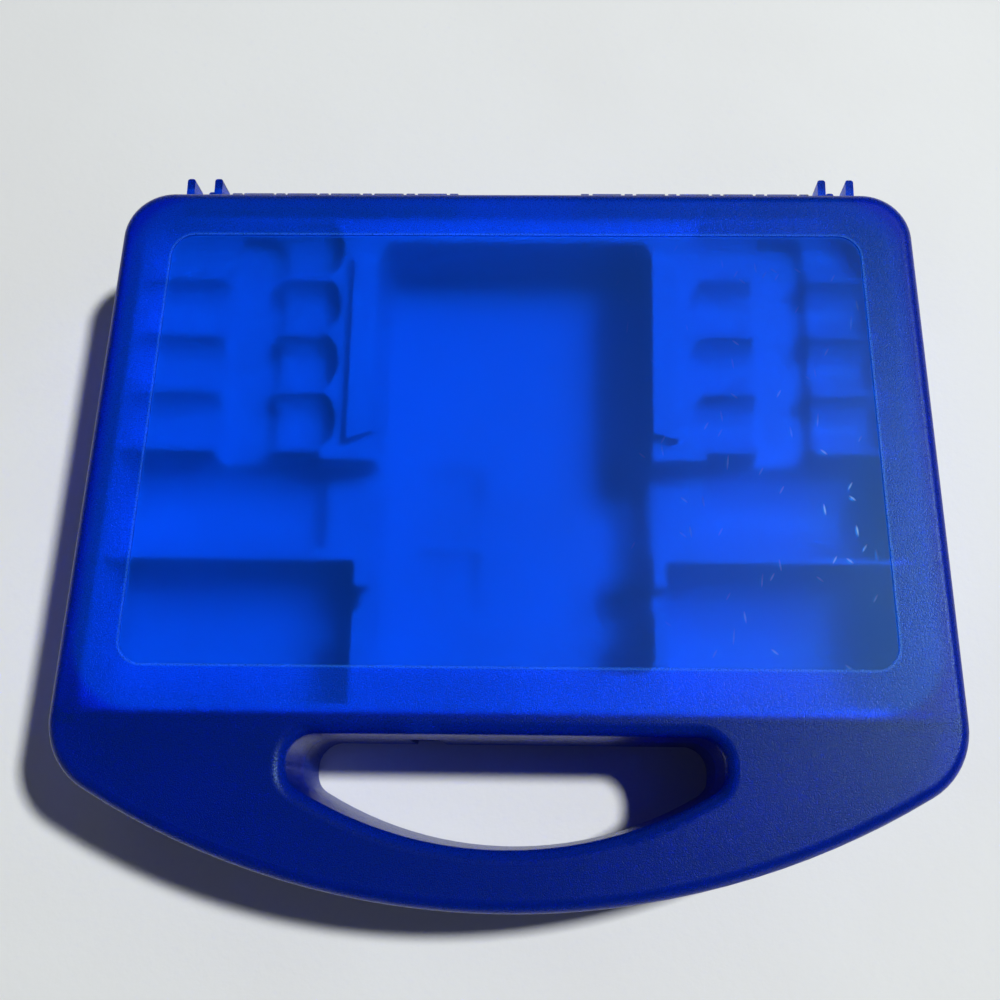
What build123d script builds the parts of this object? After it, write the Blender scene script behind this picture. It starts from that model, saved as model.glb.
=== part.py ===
"""Battery case with a hinged lid, a grip moulded in one with both halves and a lift-in cell tray.

The case lies flat on its base. X runs along the hinge, -Y points at the grip and Z is up.
The pieces are drawn with the hinge side at Y = 0 and moved at the end, so that the origin is
on the underside in the middle of the footprint. All sizes are in millimetres.
"""

import os
from math import sqrt

from build123d import *

# Outline at the line where the two halves meet
case_height = 43.6
rear_half_width = 99.8
side_taper = 0.045
arc_radius = 191.9
rear_corner = 13
grip_corner = 18.7

# Mouldings
wall = 2.2
draft = 1.5
face_rounding = 3.1
parting_gap = 0.2
parting = case_height / 2
half_height = parting - parting_gap / 2
deck = case_height - wall

# Divider between the cell compartment and the hollow grip
divider_rear = 132.7
divider_front = divider_rear + wall
divider_middle = (divider_rear + divider_front) / 2

# Hole behind the grip, and the grip itself
hole_set_back = 1.7
hole_rear = divider_front + hole_set_back
hole_half_width = 49.8
hole_depth = 25.1
hole_side = 10.8
hole_front = hole_rear + hole_depth
hole_rear_corner = 6.2
hole_grip_corner = 5.2
grip_depth = 14.1
reach = hole_front + grip_depth

# Tongue on the base's rim and the step in the lid that takes it
tongue_inset = 1.3
tongue_height = 1.5
tongue_clearance = 0.3

# Polished window on the lid
window_depth = 0.4
window_rear = 13
window_front = divider_rear - 11.6
window_half_width = 85.7
window_taper = 0.038
window_corner = 5.7

# Finger notch in the base, in the wall behind the grip
notch_x = -20.8
notch_width = 7.5
notch_depth = 1

# Hinge
hinge_y = 6.5
barrel_radius = 3.5
pin_radius = 1.25
running_clearance = 0.05
lug_pitch = 11.85
lug_width = 2.1
barrel_width = 7.7
first_lug = 17.8
lug_count = 6
pin_overhang = 0.5
arm_root = 1

# Feet that the case stands on when it is upright
foot_reach = 10.8
foot_thickness = 2.1
foot_height = 7
foot_rounding = 0.7
lid_foot_places = (80.7, 88.1)
base_foot = sum(lid_foot_places) / 2

# Cell tray, pressed from sheet
sheet = 1
tray_clearance = 0.4
tray_draft = 2
tray_top = 34.3
cell_clearance = 0.5
cell_top = deck - 0.4
ridge_width = 0.8

# Grooves for the cells: how far from the middle each one starts, and the size of the cell
first_groove = 4.9
aa_diameter = 14.5
aa_pitch = 15.45
aa_count = 4
aa_ridge = tray_top - 1.4
aa_end = 44.4
aa_end_radius = 10
c_diameter = 26.2
c_end = 47.9
d_diameter = 34.2
d_end = 37.7

# Trough across the small grooves, for the fingers
trough_start = 60.8
trough_end = 75.4
trough_rear = first_groove + 1.6
trough_overlap = 5.4
trough_floor = 23.4
trough_corner = 5

# Bay for the charger, with two sinks and a slot in its floor
bay_half_width = 34.8
bay_rear = 10.4
bay_front = 121.7
bay_floor = 9.4
bay_corner = 4
sink_corner = 2
sink_width = 15.6
sink_centre = -17.2
sink_depth = 2
rear_sink = (65.5, 76)
front_sink = (87.4, 102)
slot_width = 7.2
slot_centre = 24.4
slot_span = (62.4, 103)
slot_depth = 3

# Raised ledges and lower places between the bay and the grooves
ledge_width = 6.2
ledge_height = 3.5
ledge_rear = 15.1
ledge_front = 62.9
ledge_skew = 2
shelf_height = 20.8
shelf_margin = 2
passage_floor = 26
passage_start = 6.2
passage_width = 6.3


def parting_outline():
    """Outline of both halves where they meet: straight sides that spread, and an arc at the grip."""
    arc_centre = arc_radius - reach
    a = 1 + side_taper**2
    b = 2 * (rear_half_width * side_taper + arc_centre)
    c = rear_half_width**2 + arc_centre**2 - arc_radius**2
    side_length = (-b + sqrt(b * b - 4 * a * c)) / (2 * a)
    grip_half_width = rear_half_width + side_taper * side_length
    with BuildSketch() as sketch:
        with BuildLine():
            Polyline(
                (-grip_half_width, -side_length),
                (-rear_half_width, 0),
                (rear_half_width, 0),
                (grip_half_width, -side_length),
            )
            ThreePointArc((grip_half_width, -side_length), (0, -reach), (-grip_half_width, -side_length))
        make_face()
        fillet(sketch.vertices().group_by(Axis.Y)[-1], rear_corner)
        fillet(sketch.vertices().group_by(Axis.Y)[0], grip_corner)
    return sketch.sketch


def hole_outline():
    """Outline of the hole behind the grip: a straight edge at the case and an arc at the grip."""
    side = hole_rear + hole_side
    with BuildSketch() as sketch:
        with BuildLine():
            Polyline(
                (-hole_half_width, -side),
                (-hole_half_width, -hole_rear),
                (hole_half_width, -hole_rear),
                (hole_half_width, -side),
            )
            ThreePointArc((hole_half_width, -side), (0, -hole_front), (-hole_half_width, -side))
        make_face()
        fillet(sketch.vertices().group_by(Axis.Y)[-1], hole_rear_corner)
        fillet(sketch.vertices().group_by(Axis.Y)[0], hole_grip_corner)
    return sketch.sketch


outline = parting_outline()
hole = hole_outline()


def inset(amount):
    """The parting outline, moved inwards."""
    with BuildSketch() as sketch:
        add(outline)
        offset(amount=-amount)
    return sketch.sketch


def behind(sketch, line):
    """The part of a sketch on the hinge side of a line across the case."""
    with BuildSketch() as rear:
        add(sketch)
        with Locations((0, -line)):
            Rectangle(3 * rear_half_width, reach, align=(Align.CENTER, Align.MIN), mode=Mode.INTERSECT)
    return rear.sketch


def compartment():
    """Plan of the space for the tray, with its corners cut off at the divider."""
    with BuildSketch() as sketch:
        add(behind(inset(wall), divider_rear))
        chamfer(sketch.vertices().group_by(Axis.Y)[0], wall)
    return sketch.sketch


def grip_hollow():
    """Plan of the hollow inside the grip, which runs round the hole."""
    with BuildSketch() as walled_hole:
        add(hole)
        offset(amount=wall)
    with BuildSketch() as sketch:
        add(inset(wall))
        add(behind(inset(wall), divider_front), mode=Mode.SUBTRACT)
        add(walled_hole.sketch, mode=Mode.SUBTRACT)
    return sketch.sketch


def hollow_plans():
    """Both hollows of a half: the compartment and the space inside the grip."""
    return compartment(), grip_hollow()


def rim_band(outer, inner):
    """A band that follows the outline, between two insets."""
    with BuildSketch() as sketch:
        add(inset(outer))
        add(inset(inner), mode=Mode.SUBTRACT)
    return sketch.sketch


def lower_half():
    """The drafted, rounded and hollowed lower half of the case."""
    start = Plane.XY.offset(half_height)
    towards = (0, 0, -1)
    with BuildPart() as half:
        with BuildSketch(start):
            add(outline)
        extrude(amount=half_height, dir=towards, taper=draft)
        with BuildSketch(start):
            add(hole)
        extrude(amount=half_height, dir=towards, mode=Mode.SUBTRACT)
        fillet(half.edges().group_by(Axis.Z)[0], face_rounding)
        for plan in hollow_plans():
            with BuildSketch(start):
                add(plan)
            extrude(amount=half_height - wall, dir=towards, mode=Mode.SUBTRACT)
    return half.part


def hinge_profile(up):
    """Side view of one knuckle: the barrel round the pin and the arm back to the case."""
    arm_length = hinge_y + arm_root
    with BuildSketch(Plane.YZ) as sketch:
        with Locations((hinge_y, parting)):
            Circle(barrel_radius)
        with Locations((hinge_y - arm_length / 2, parting + up * (parting_gap + barrel_radius) / 2)):
            Rectangle(arm_length, barrel_radius - parting_gap)
        with Locations((hinge_y, parting)):
            Circle(pin_radius + (running_clearance if up > 0 else 0), mode=Mode.SUBTRACT)
    return sketch.sketch


def knuckles(up, centres, width):
    """A row of knuckles on both sides of the middle."""
    profile = hinge_profile(up)
    with BuildPart() as row:
        for centre in centres:
            for side in (-1, 1):
                with BuildSketch(Plane.YZ.offset(side * centre)):
                    add(Plane.YZ.to_local_coords(profile))
                extrude(amount=width / 2, both=True)
    return row.part


def feet(up, centres):
    """Thin plates on the hinge side that reach past the hinge."""
    with BuildPart() as plates:
        with BuildSketch(Plane.XY.offset(parting + up * (parting_gap + foot_height) / 2)) as plan:
            for centre in centres:
                with Locations((centre, (foot_reach - arm_root) / 2), (-centre, (foot_reach - arm_root) / 2)):
                    Rectangle(foot_thickness, foot_reach + arm_root)
            fillet(plan.vertices().group_by(Axis.Y)[-1], foot_rounding)
        extrude(amount=foot_height / 2, both=True)
    return plates.part


def groove_section(radius, y, z, top):
    """Section across a groove: a half round below the cell's axis and straight sides above it."""
    with BuildSketch(Plane.YZ) as sketch:
        with BuildLine():
            Polyline((-y - radius, z), (-y - radius, top), (-y + radius, top), (-y + radius, z))
            ThreePointArc((-y + radius, z), (-y, z - radius), (-y - radius, z))
        make_face()
    return sketch.sketch


def cell_area(grow):
    """Plan of the tray inside its skirt, less one sheet for the end walls of the grooves."""
    with BuildSketch() as sketch:
        add(compartment())
        offset(amount=grow - tray_clearance - 2 * sheet)
    return sketch.sketch


def small_grooves(grow):
    """The row of grooves for small cells, with rounded ends in plan at the middle of the case."""
    radius = (aa_diameter + cell_clearance) / 2 + grow
    axis_height = cell_top - aa_diameter / 2
    end_centre = aa_end + aa_end_radius
    row_centre = (first_groove + aa_zone_end) / 2
    row_length = aa_zone_end - first_groove + 2 * grow
    with BuildPart() as grooves:
        with BuildSketch(Plane.YZ.offset(aa_end - grow)):
            with Locations(*[(-y, axis_height) for y in aa_places]):
                Circle(radius)
            with Locations((-row_centre, aa_ridge - grow)):
                Rectangle(row_length, case_height, align=(Align.CENTER, Align.MIN))
        extrude(amount=rear_half_width)
        with BuildSketch(Plane.XY):
            with Locations(*[(end_centre, -y) for y in aa_places]):
                Circle(aa_end_radius + grow)
            with Locations((end_centre, -row_centre)):
                Rectangle(rear_half_width, 2 * row_length, align=(Align.MIN, Align.CENTER))
            add(cell_area(grow), mode=Mode.INTERSECT)
        extrude(amount=2 * case_height, mode=Mode.INTERSECT)
    return grooves.part


def round_groove(diameter, inner, y, grow):
    """A groove for one of the larger cells."""
    radius = (diameter + cell_clearance) / 2
    axis_height = cell_top - diameter / 2
    with BuildPart() as groove:
        with BuildSketch(Plane.YZ.offset(inner - grow)):
            add(Plane.YZ.to_local_coords(groove_section(radius + grow, y, axis_height, 2 * case_height)))
        extrude(amount=rear_half_width)
        with BuildSketch(Plane.XY):
            add(cell_area(grow))
        extrude(amount=3 * case_height, mode=Mode.INTERSECT)
    return groove.part


def pocket(corners, floor, grow, rounding=0):
    """A straight-sided pocket whose plan is a polygon."""
    with BuildPart() as hollow:
        with BuildSketch(Plane.XY.offset(floor - grow)) as plan:
            with BuildLine():
                Polyline(*corners, close=True)
            make_face()
            if rounding:
                fillet(plan.vertices(), rounding)
            if grow:
                offset(amount=grow)
        extrude(amount=2 * case_height)
    return hollow.part


def rectangle(x_range, y_range):
    """Corners of a rectangle, with distances from the hinge side in y_range."""
    (x_low, x_high), (y_low, y_high) = x_range, y_range
    return [(x_low, -y_low), (x_high, -y_low), (x_high, -y_high), (x_low, -y_high)]


def around(centre, width):
    """The two ends of a span with this centre and width."""
    return centre - width / 2, centre + width / 2


def block(x_range, y_range):
    """An upright block through the whole case, to take a length of a moulding or of the tray."""
    return pocket(rectangle(x_range, y_range), -case_height, 0)


# Places of the grooves, as distances from the hinge side
aa_places = [first_groove + (i + 0.5) * aa_pitch for i in range(aa_count)]
aa_zone_end = first_groove + aa_count * aa_pitch
c_rear = aa_zone_end + ridge_width / 2
c_front = c_rear + c_diameter + cell_clearance
c_place = (c_rear + c_front) / 2
d_rear = c_front + ridge_width
d_place = d_rear + (d_diameter + cell_clearance) / 2

# Where the blocks of the tray meet: beside the bay, and in the ridges between the grooves
bay_edge = (bay_half_width + d_end) / 2
aa_edges = [first_groove + i * aa_pitch for i in range(1, aa_count)]
row_edges = [0, *aa_edges, aa_zone_end + ridge_width / 4, c_front + ridge_width / 2, reach]
row_names = [*(f"tray_aa_{i + 1}" for i in range(aa_count)), "tray_c", "tray_d"]
whole_width = (-2 * rear_half_width, 2 * rear_half_width)


def side_recesses(grow):
    """The recesses of the tray's +X side, enlarged by grow."""
    trough = rectangle((trough_start, trough_end), (trough_rear, aa_zone_end + trough_overlap))
    inside_bay = bay_half_width - 2 * sheet
    shelf = rectangle((inside_bay, c_end + sheet), (c_rear + shelf_margin, c_front - shelf_margin))
    passage_centre = d_rear + passage_start + passage_width / 2
    passage = rectangle((inside_bay, d_end + 2 * sheet), around(passage_centre, passage_width))
    return [
        small_grooves(grow),
        pocket(trough, trough_floor, grow, trough_corner),
        round_groove(c_diameter, c_end, c_place, grow),
        round_groove(d_diameter, d_end, d_place, grow),
        pocket(shelf, shelf_height, grow),
        pocket(passage, passage_floor, grow),
    ]


def bay_recesses(grow):
    """The bay for the charger, with two shallow sinks and a slot in its floor."""
    bay = rectangle((-bay_half_width, bay_half_width), (bay_rear, bay_front))
    sink_x = around(sink_centre, sink_width)
    slot = rectangle(around(slot_centre, slot_width), slot_span)
    return [
        pocket(bay, bay_floor, grow, bay_corner),
        pocket(rectangle(sink_x, rear_sink), bay_floor - sink_depth, grow, sink_corner),
        pocket(rectangle(sink_x, front_sink), bay_floor - sink_depth, grow, sink_corner),
        pocket(slot, bay_floor - slot_depth, grow, sink_corner),
    ]


os.makedirs("parts", exist_ok=True)
lug_places = [first_lug + i * lug_pitch for i in range(lug_count)]
barrel_places = [place + lug_pitch / 2 for place in lug_places[:-1]]
lower_body = lower_half()

# Base with its rim tongue and finger notch
with BuildPart() as whole_base:
    add(lower_body)
    with BuildSketch(Plane.XY.offset(parting - parting_gap / 2)):
        add(rim_band(tongue_inset, wall))
    extrude(amount=tongue_height)
    with BuildSketch(Plane.XY.offset(-1)):
        with Locations((notch_x, -hole_rear)):
            Rectangle(notch_width, 2 * notch_depth)
    extrude(amount=case_height / 2 + 1, mode=Mode.SUBTRACT)

# The base in two blocks that meet inside the divider: the compartment, and the grip with its hole
with BuildPart() as base_shell:
    add(whole_base.part)
    add(block(whole_width, (0, divider_middle)), mode=Mode.INTERSECT)
base_shell.part.label = "base_shell"

with BuildPart() as base_grip:
    add(whole_base.part)
    add(block(whole_width, (divider_middle, 2 * reach)), mode=Mode.INTERSECT)
base_grip.part.label = "base_grip"

# Lid with the step for the tongue and the window's shallow recess
with BuildPart() as lid_shell:
    mirror(lower_body, about=Plane.XY.offset(parting))
    with BuildSketch(Plane.XY.offset(parting)):
        add(rim_band(tongue_inset - tongue_clearance, wall + 0.1))
    extrude(amount=tongue_height + 2 * tongue_clearance, mode=Mode.SUBTRACT)
    with BuildSketch(Plane.XY.offset(case_height - window_depth)) as window:
        with BuildLine():
            rear_x = window_half_width + window_taper * window_rear
            front_x = window_half_width + window_taper * window_front
            Polyline(
                (-rear_x, -window_rear),
                (rear_x, -window_rear),
                (front_x, -window_front),
                (-front_x, -window_front),
                close=True,
            )
        make_face()
        fillet(window.vertices(), window_corner)
    extrude(amount=1, mode=Mode.SUBTRACT)
lid_shell.part.label = "lid_shell"

# Hinge lugs, hinge barrels and feet, each up to the wall that it is moulded on
with BuildPart() as base_lugs:
    add(knuckles(-1, lug_places, lug_width))
    add(base_shell.part, mode=Mode.SUBTRACT)
base_lugs.part.label = "base_lugs"

with BuildPart() as lid_barrels:
    add(knuckles(1, barrel_places, barrel_width))
    add(lid_shell.part, mode=Mode.SUBTRACT)
lid_barrels.part.label = "lid_barrels"

with BuildPart() as base_feet:
    add(feet(-1, [base_foot]))
    add(base_shell.part, mode=Mode.SUBTRACT)
base_feet.part.label = "base_feet"

with BuildPart() as lid_feet:
    add(feet(1, lid_foot_places))
    add(lid_shell.part, mode=Mode.SUBTRACT)
lid_feet.part.label = "lid_feet"

# Two hinge pins, held by the base's lugs
with BuildPart() as hinge_pins:
    pin_start = lug_places[0] - lug_width / 2 - pin_overhang
    pin_length = lug_places[-1] - lug_places[0] + lug_width + 2 * pin_overhang
    for side in (-1, 1):
        with BuildSketch(Plane.YZ.offset(side * (pin_start + pin_length / 2))):
            with Locations((hinge_y, parting)):
                Circle(pin_radius)
        extrude(amount=pin_length / 2, both=True)
    chamfer(hinge_pins.edges().filter_by(GeomType.CIRCLE), 0.3)
hinge_pins.part.label = "hinge_pins"

# Tray: a skirt, a top sheet, the sheet round every recess and the raised ledges beside the bay
with BuildSketch() as tray_plan:
    add(compartment())
    offset(amount=-tray_clearance)
tray_floor = wall + 0.1
with BuildPart() as tray_block:
    with BuildSketch(Plane.XY.offset(tray_floor)):
        add(tray_plan.sketch)
    extrude(amount=tray_top - tray_floor, taper=tray_draft)
with BuildPart() as tray_walls:
    for solid in side_recesses(sheet):
        add(solid)
        mirror(solid, about=Plane.YZ)
    for solid in bay_recesses(sheet):
        add(solid)
with BuildPart() as tray_core:
    with BuildSketch(Plane.XY.offset(tray_floor)):
        add(tray_plan.sketch)
        offset(amount=-sheet)
    extrude(amount=tray_top - sheet - tray_floor, taper=tray_draft)
    add(tray_walls.part, mode=Mode.SUBTRACT)
with BuildPart() as ledges:
    with BuildSketch(Plane.XY.offset(tray_top - sheet)):
        with BuildLine():
            Polyline(
                (bay_half_width, -ledge_rear),
                (bay_half_width + ledge_width, -ledge_rear),
                (bay_half_width + ledge_width, -ledge_front - ledge_skew),
                (bay_half_width, -ledge_front),
                close=True,
            )
        make_face()
    extrude(amount=sheet + ledge_height)
    mirror(about=Plane.YZ)
with BuildPart() as whole_tray:
    add(tray_block.part)
    add(tray_core.part, mode=Mode.SUBTRACT)
    add(ledges.part)
    for solid in side_recesses(0):
        add(solid, mode=Mode.SUBTRACT)
        mirror(solid, about=Plane.YZ, mode=Mode.SUBTRACT)
    for solid in bay_recesses(0):
        add(solid, mode=Mode.SUBTRACT)

# The tray in blocks that meet inside the ridges: the bay, and the grooves on both sides of it
with BuildPart() as tray_bay:
    add(whole_tray.part)
    add(block((-bay_edge, bay_edge), (0, reach)), mode=Mode.INTERSECT)
tray_bay.part.label = "tray_bay"

tray_rows = []
for name, rear, front in zip(row_names, row_edges, row_edges[1:]):
    with BuildPart() as row_end:
        add(whole_tray.part)
        add(block((bay_edge, 2 * rear_half_width), (rear, front)), mode=Mode.INTERSECT)
    with BuildPart() as row:
        add(row_end.part)
        mirror(row_end.part, about=Plane.YZ)
    row.part.label = name
    tray_rows.append(row)

footprint_middle = (reach - foot_reach) / 2
pieces = (base_shell, base_grip, base_lugs, base_feet, lid_shell, lid_barrels, lid_feet, hinge_pins)
for piece in (*pieces, tray_bay, *tray_rows):
    placed = piece.part.moved(Location((0, footprint_middle, 0)))
    export_step(placed, f"parts/{piece.part.label}.step")
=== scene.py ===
"""A blue see-through battery case lying shut on a pale floor, seen from above."""
import math

import bpy
from mathutils import Matrix, Vector

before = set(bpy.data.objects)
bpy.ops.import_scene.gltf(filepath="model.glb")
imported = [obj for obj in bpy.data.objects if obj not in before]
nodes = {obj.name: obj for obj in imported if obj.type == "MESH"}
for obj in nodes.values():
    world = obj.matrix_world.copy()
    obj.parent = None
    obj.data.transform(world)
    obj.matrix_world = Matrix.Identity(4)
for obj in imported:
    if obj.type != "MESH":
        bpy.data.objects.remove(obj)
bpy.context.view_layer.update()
MM = 0.001

# The window in the lid's deck, in the part's frame; it widens towards the grip
HINGE_SIDE = 82.5 * MM  # y of the wall at the hinge
WINDOW_REAR = 13 * MM  # from the hinge side
WINDOW_FRONT = 121.1 * MM  # from the hinge side
WINDOW_HALF_WIDTH = 85.7 * MM  # at the hinge side
WINDOW_TAPER = 0.038  # half width gained for each unit of length
WINDOW_CORNER = 5.7 * MM
DECK_FROM = 40.5 * MM  # height from which a place on the lid belongs to its deck
RIM_FROM = 43.45 * MM  # height from which the deck stands above the window

# Colours of the blue mouldings, and the light that they let through to what lies behind them
BASE_BLUE, BASE_LIGHT = (0.001, 0.03, 0.4, 1), (0.01, 0.015, 0.04, 1)
# The deck over the tray is painted lighter and greener than the walls and grip. This is painted light
# for the lit tray seen through the lid, and painted shade over the hollow under the grip.
WALL_PAINTED_DARKER_BLUE, WALL_LIGHT = (0.001, 0.055, 0.72, 1), (0.006, 0.01, 0.03, 1)
DECK_PAINTED_LIGHTER_BLUE, DECK_LIGHT = (0.001, 0.12, 0.68, 1), (0.04, 0.6, 0.85, 1)
WINDOW_BLUE, WINDOW_LIGHT = (0.001, 0.21, 0.68, 1), (0.16, 0.58, 0.97, 1)
SCUFF_BLUE = (0.3, 0.6, 0.95, 1)
# Painted highlight along the window's border, standing in for light caught by the recess's edge
EDGE_HIGHLIGHT_BLUE = (0.06, 0.3, 0.9, 1)
BLUE_SPECULAR_TINT = (0.45, 0.75, 1, 1)
BLUE_IOR = 1.26  # low, so that reflections of the pale room don't veil the blue

# Transmission weights
BASE_CLEAR = 0.4
LID_CLEAR = 0.85
WINDOW_CLEAR = 0.95

# Scuffs on the window: cells per metre, direction in radians, length over width, half width in cells
SCUFFS = (
    (120, 0.15, 6, 0.03),
    (150, -0.5, 5, 0.035),
    (110, 0.9, 4, 0.03),
    (90, -0.1, 9, 0.02),
)

# The other materials, each with the two colours that it varies between
TRAY_BLUE, TRAY_PALE, TRAY_LIGHT = (0.15, 0.31, 0.46, 1), (0.19, 0.37, 0.55, 1), (0.4, 0.55, 0.7, 1)
STEEL, STEEL_SPOT = (0.56, 0.57, 0.6, 1), (0.42, 0.42, 0.44, 1)
FLOOR, FLOOR_STAIN = (0.82, 0.84, 0.83, 1), (0.77, 0.78, 0.77, 1)


class Nodes:
    """Short helper for building a material's node tree."""

    def __init__(self, name):
        self.material = bpy.data.materials.new(name)
        self.material.use_nodes = True
        self.tree = self.material.node_tree
        self.shader = self.tree.nodes["Principled BSDF"]
        self.coordinates = self.add("ShaderNodeTexCoord").outputs["Object"]

    def add(self, kind, **settings):
        node = self.tree.nodes.new(kind)
        for key, value in settings.items():
            setattr(node, key, value)
        return node

    def link(self, source, target):
        self.tree.links.new(source, target)

    def put(self, node, key, value):
        """Sets a socket to a value or links an output to it."""
        if isinstance(value, bpy.types.NodeSocket):
            self.link(value, node.inputs[key])
        else:
            node.inputs[key].default_value = value

    def set(self, **sockets):
        """Puts values or outputs on the shader's sockets, with _ for a space in a name."""
        for key, value in sockets.items():
            self.put(self.shader, key.replace("_", " "), value)

    def math(self, operation, a, b=0.0):
        node = self.add("ShaderNodeMath", operation=operation)
        self.put(node, 0, a)
        self.put(node, 1, b)
        return node.outputs[0]

    def times(self, a, b):
        return self.math("MULTIPLY", a, b)

    def noise(self, scale, detail=2.0, roughness=0.5, squeeze=None):
        """Noise over the object's own coordinates; a squeeze below 1 draws it out along that axis."""
        node = self.add("ShaderNodeTexNoise")
        node.inputs["Scale"].default_value = scale
        node.inputs["Detail"].default_value = detail
        node.inputs["Roughness"].default_value = roughness
        place = self.coordinates
        if squeeze:
            mapping = self.add("ShaderNodeMapping")
            self.link(place, mapping.inputs["Vector"])
            mapping.inputs["Scale"].default_value = squeeze
            place = mapping.outputs[0]
        self.link(place, node.inputs["Vector"])
        return node.outputs["Fac"]

    def fit(self, value, low, high, to_low=0.0, to_high=1.0, smooth=False):
        """Carries the range low to high over to another, and holds what lies outside at its ends."""
        node = self.add("ShaderNodeMapRange")
        if smooth:
            node.interpolation_type = "SMOOTHSTEP"
        self.put(node, "Value", value)
        node.inputs["From Min"].default_value = low
        node.inputs["From Max"].default_value = high
        node.inputs["To Min"].default_value = to_low
        node.inputs["To Max"].default_value = to_high
        return node.outputs["Result"]

    def blend(self, factor, a, b):
        """Mixes two numbers."""
        node = self.add("ShaderNodeMix", data_type="FLOAT")
        self.put(node, 0, factor)
        self.put(node, 2, a)
        self.put(node, 3, b)
        return node.outputs[0]

    def tint(self, factor, a, b):
        """Mixes two colours."""
        node = self.add("ShaderNodeMix", data_type="RGBA")
        self.put(node, 0, factor)
        self.put(node, 6, a)
        self.put(node, 7, b)
        return node.outputs[2]

    def bump(self, height, distance, strength):
        node = self.add("ShaderNodeBump")
        node.inputs["Distance"].default_value = distance
        node.inputs["Strength"].default_value = strength
        self.link(height, node.inputs["Height"])
        return node.outputs["Normal"]

    def dashes(self, scale, angle, stretch, size):
        """Short thin marks in one direction: 1 on a mark and 0 elsewhere."""
        turn = self.add("ShaderNodeMapping", vector_type="TEXTURE")
        self.link(self.coordinates, turn.inputs["Vector"])
        turn.inputs["Rotation"].default_value = (0, 0, angle)
        turn.inputs["Scale"].default_value = (1, stretch, 1)
        cells = self.add("ShaderNodeTexVoronoi", voronoi_dimensions="2D")
        cells.inputs["Scale"].default_value = scale
        self.link(turn.outputs[0], cells.inputs["Vector"])
        return self.fit(cells.outputs["Distance"], size, size * 0.5)

    def let_light_in(self, colour):
        """Lets tinted light through to what lies behind, in place of a full shadow."""
        through = self.add("ShaderNodeBsdfTransparent")
        self.put(through, "Color", colour)
        mix = self.add("ShaderNodeMixShader")
        self.link(self.add("ShaderNodeLightPath").outputs["Is Shadow Ray"], mix.inputs[0])
        self.link(self.shader.outputs[0], mix.inputs[1])
        self.link(through.outputs[0], mix.inputs[2])
        self.link(mix.outputs[0], self.tree.nodes["Material Output"].inputs["Surface"])


def window_masks(n, x, y, z):
    """Masks by place on the lid: the window, the deck over the tray and a thin band along the window's
    border for a painted highlight.
    """
    from_hinge = n.math("SUBTRACT", HINGE_SIDE, y)
    half_width = n.math("ADD", n.times(from_hinge, WINDOW_TAPER), WINDOW_HALF_WIDTH)
    side = n.math("SUBTRACT", half_width, n.math("ABSOLUTE", x))
    rear = n.math("SUBTRACT", from_hinge, WINDOW_REAR)
    front = n.math("SUBTRACT", WINDOW_FRONT, from_hinge)
    end = n.math("MINIMUM", rear, front)

    # How far a place lies inside the window's outline with its rounded corners
    past_side = n.math("MAXIMUM", n.math("SUBTRACT", WINDOW_CORNER, side), 0.0)
    past_end = n.math("MAXIMUM", n.math("SUBTRACT", WINDOW_CORNER, end), 0.0)
    squares = n.math("ADD", n.math("POWER", past_side, 2.0), n.math("POWER", past_end, 2.0))
    inwards = n.math("SUBTRACT", WINDOW_CORNER, n.math("SQRT", squares))

    # The window ends just past its outline, the painted highlight line lies on its border, and the
    # deck over the tray goes on to the inside of the walls
    below_rim = n.math("LESS_THAN", z, RIM_FROM)
    in_deck = n.math("GREATER_THAN", z, DECK_FROM)
    window = n.times(n.fit(inwards, -0.4 * MM, -0.2 * MM), n.times(below_rim, in_deck))
    over_tray = n.times(n.fit(inwards, -11.5 * MM, -9.5 * MM), in_deck)
    edge_highlight = n.times(n.fit(inwards, -0.7 * MM, -0.4 * MM), n.fit(inwards, 0, -0.15 * MM))
    return window, over_tray, n.times(edge_highlight, in_deck)


def window_wear(n, x, y, cloud):
    """Scuffs and haze on the window, both heavier towards its right and its front."""
    right = n.fit(x, 20 * MM, 80 * MM, smooth=True)
    front = n.fit(y, 70 * MM, -10 * MM, 0.1, 1, smooth=True)
    where = n.times(right, front)
    marks = 0.0
    for scuff in SCUFFS:
        marks = n.math("MAXIMUM", marks, n.dashes(*scuff))
    patches = n.fit(n.noise(55, 1), 0.42, 0.58)
    scuffs = n.times(n.times(marks, where), patches)
    haze = n.times(where, n.fit(cloud, 0.35, 0.65))
    return scuffs, haze


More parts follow.
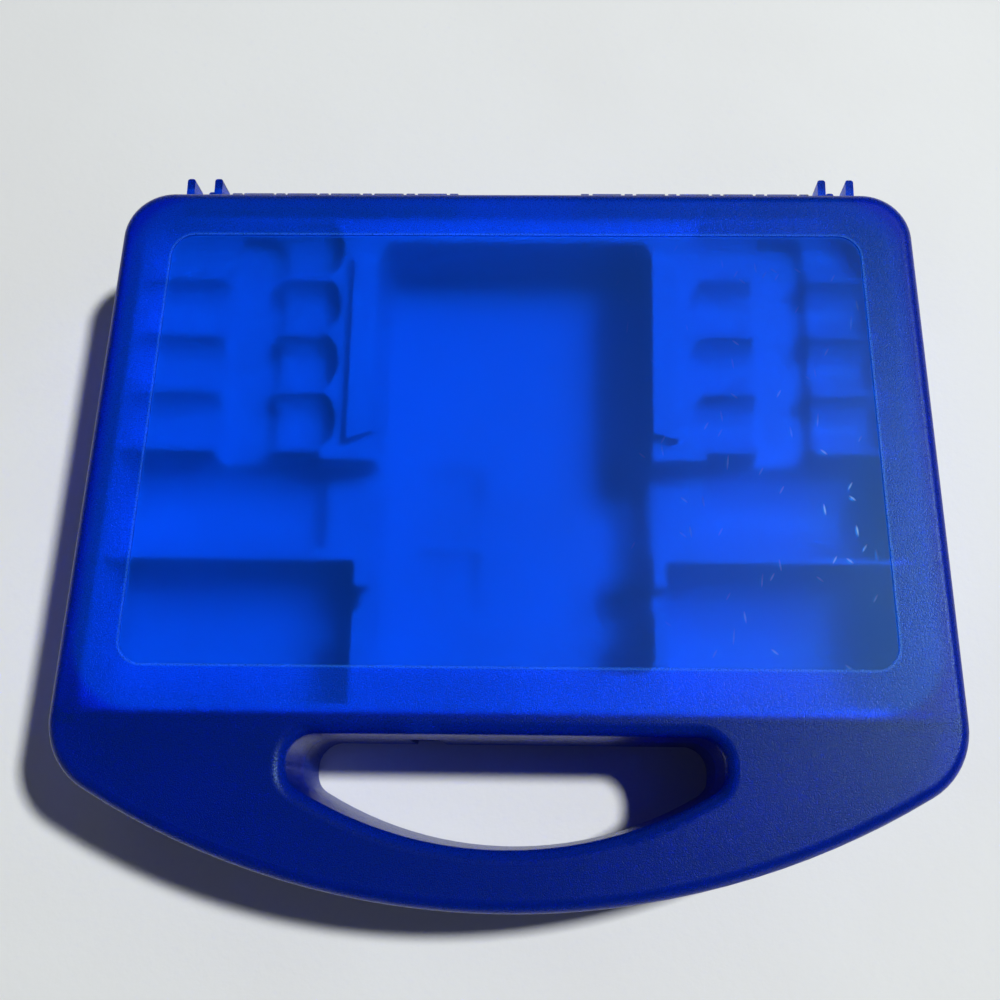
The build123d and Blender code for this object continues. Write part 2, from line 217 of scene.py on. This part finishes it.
def blue_plastic(name, blue, clear, light, with_window):
    """Translucent blue moulding with a fine grain; on the lid also a clearer, scuffed window, a
    painted highlight along its border, and paint that is lighter over the tray than on the walls and
    grip, as painted light and shade.
    """
    n = Nodes(name)
    grain = n.noise(3300, 1)
    cloud = n.noise(20)
    lighter = [part * 1.2 for part in blue[:3]] + [1]
    paint = n.tint(n.fit(cloud, 0.3, 0.7), blue, lighter)
    roughness = n.fit(grain, 0.3, 0.7, 0.24, 0.36)
    height = grain
    if with_window:
        split = n.add("ShaderNodeSeparateXYZ")
        n.link(n.coordinates, split.inputs[0])
        x, y, z = split.outputs
        window, over_tray, edge_highlight = window_masks(n, x, y, z)
        scuffs, haze = window_wear(n, x, y, cloud)

        smooth = n.math("ADD", n.fit(cloud, 0.3, 0.7, 0.34, 0.4), n.times(haze, 0.04))
        roughness = n.blend(window, roughness, smooth)
        height = n.blend(window, height, n.times(scuffs, -0.3))

        lost = n.math("ADD", n.times(scuffs, 0.6), n.times(haze, 0.04))
        clear = n.blend(window, clear, n.math("SUBTRACT", WINDOW_CLEAR, lost))
        # The band on the window's border is made less clear, so that its painted highlight shows
        clear = n.math("SUBTRACT", clear, n.times(edge_highlight, 0.2))

        # Lighter paint on the deck over the tray and darker paint on the walls and grip: painted light
        # and painted shade for what lies behind the lid
        paint = n.tint(over_tray, WALL_PAINTED_DARKER_BLUE, paint)
        paint = n.tint(window, paint, n.tint(scuffs, WINDOW_BLUE, SCUFF_BLUE))
        # Painted highlight along the window's border
        paint = n.tint(n.times(edge_highlight, 0.45), paint, EDGE_HIGHLIGHT_BLUE)
        light = n.tint(window, n.tint(over_tray, WALL_LIGHT, light), WINDOW_LIGHT)
    n.let_light_in(light)
    n.set(Base_Color=paint, Roughness=roughness, Transmission_Weight=clear, IOR=BLUE_IOR)
    n.set(Specular_Tint=BLUE_SPECULAR_TINT, Normal=n.bump(height, 0.1 * MM, 0.7))
    return n.material


def tray_sheet():
    """Pale blue pressed sheet, slightly uneven, with drawn lines down its walls."""
    n = Nodes("tray_sheet")
    cloud = n.noise(30, 3, 0.6)
    fine = n.noise(900)
    drawn = n.noise(300, squeeze=(1, 1, 0.05))
    height = n.math("ADD", n.times(fine, 0.3), n.times(drawn, 0.5))
    n.set(Base_Color=n.tint(n.fit(cloud, 0.3, 0.7), TRAY_BLUE, TRAY_PALE))
    n.set(Roughness=n.fit(fine, 0.3, 0.7, 0.3, 0.42), Normal=n.bump(height, 0.1 * MM, 0.6))
    n.let_light_in(TRAY_LIGHT)
    return n.material


def pin_steel():
    """Drawn wire: bright, with fine lines along it."""
    n = Nodes("pin_steel")
    lines = n.noise(2500, squeeze=(0.02, 1, 1))
    spots = n.noise(300, 3, 0.6)
    n.set(Metallic=1, Base_Color=n.tint(n.fit(spots, 0.4, 0.7), STEEL, STEEL_SPOT))
    n.set(Roughness=n.fit(lines, 0.3, 0.7, 0.22, 0.4), Normal=n.bump(lines, 0.02 * MM, 0.6))
    return n.material


def painted_floor():
    """Off-white ground with faint soft stains."""
    n = Nodes("floor")
    stains = n.noise(5, 4, 0.6)
    fine = n.noise(350, 3, 0.6)
    n.set(Base_Color=n.tint(n.fit(stains, 0.45, 0.75), FLOOR, FLOOR_STAIN), Roughness=0.85)
    n.set(Specular_IOR_Level=0.2, Normal=n.bump(fine, 0.2 * MM, 0.4))
    return n.material


# The CAD nodes, by how their names start
materials = {
    "base_": blue_plastic("base_blue", BASE_BLUE, BASE_CLEAR, BASE_LIGHT, False),
    "lid_": blue_plastic("lid_blue", DECK_PAINTED_LIGHTER_BLUE, LID_CLEAR, DECK_LIGHT, True),
    "tray_": tray_sheet(),
    "hinge_pins": pin_steel(),
}
for start, material in materials.items():
    for node in nodes:
        if node.startswith(start):
            for slot in nodes[node].material_slots:
                slot.material = material

# Floor, a hair under the case
bpy.ops.mesh.primitive_plane_add(size=6, location=(0, 0, -0.2 * MM))
floor = bpy.context.object
floor.name = "floor"
floor.data.materials.append(painted_floor())

# Light: a dim pale room, one key lamp from the upper right and four weak low lamps around the case
world = bpy.data.worlds.new("room")
bpy.context.scene.world = world
world.use_nodes = True
world.node_tree.nodes["Background"].inputs["Color"].default_value = (0.86, 0.92, 1.0, 1)
world.node_tree.nodes["Background"].inputs["Strength"].default_value = 0.04


def area_light(name, place, size, power, colour):
    """A square lamp that faces the part's origin."""
    light = bpy.data.lights.new(name, "AREA")
    light.shape = "SQUARE"
    light.size = size
    light.energy = power
    light.color = colour
    lamp = bpy.data.objects.new(name, light)
    bpy.context.collection.objects.link(lamp)
    lamp.location = place
    lamp.rotation_euler = (-Vector(place)).to_track_quat("-Z", "Y").to_euler()


towards_key = Vector((0.53, 0.18, 1)).normalized()
key_distance = 3
area_light("key", towards_key * key_distance, 0.2, 88, (0.98, 0.99, 1.0))
side_distance, side_height = 1.5, 0.5
for number, turn in enumerate((20, 110, 200, 290)):
    angle = math.radians(turn)
    place = Vector((side_distance * math.cos(angle), side_distance * math.sin(angle), side_height))
    area_light(f"side_{number}", place, 0.8, 0.6, (0.95, 0.97, 1.0))

# Camera, at the place and angle of the photograph: a focal length of 1226 pixels for a picture of 1000
camera_data = bpy.data.cameras.new("camera")
camera_data.sensor_width = 36
camera_data.lens = 36 * 1226 / 1000
camera_data.shift_x = -0.0451
camera_data.shift_y = -0.002
camera_data.clip_start = 0.01
camera = bpy.data.objects.new("camera", camera_data)
bpy.context.collection.objects.link(camera)
roll = Matrix.Rotation(0.0072036, 3, "Z")
yaw = Matrix.Rotation(0.019714, 3, "Y")
pitch = Matrix.Rotation(-0.255133, 3, "X")
to_right, to_bottom, forward = roll @ yaw @ pitch @ Matrix.Diagonal((1, -1, -1))
axes = Matrix((to_right, -to_bottom, -forward)).transposed()
place = Vector((14.14, -72.09, 325.14)) * MM
camera.matrix_world = Matrix.Translation(place) @ axes.to_4x4()
bpy.context.scene.camera = camera
bpy.context.scene.view_settings.view_transform = "Standard"
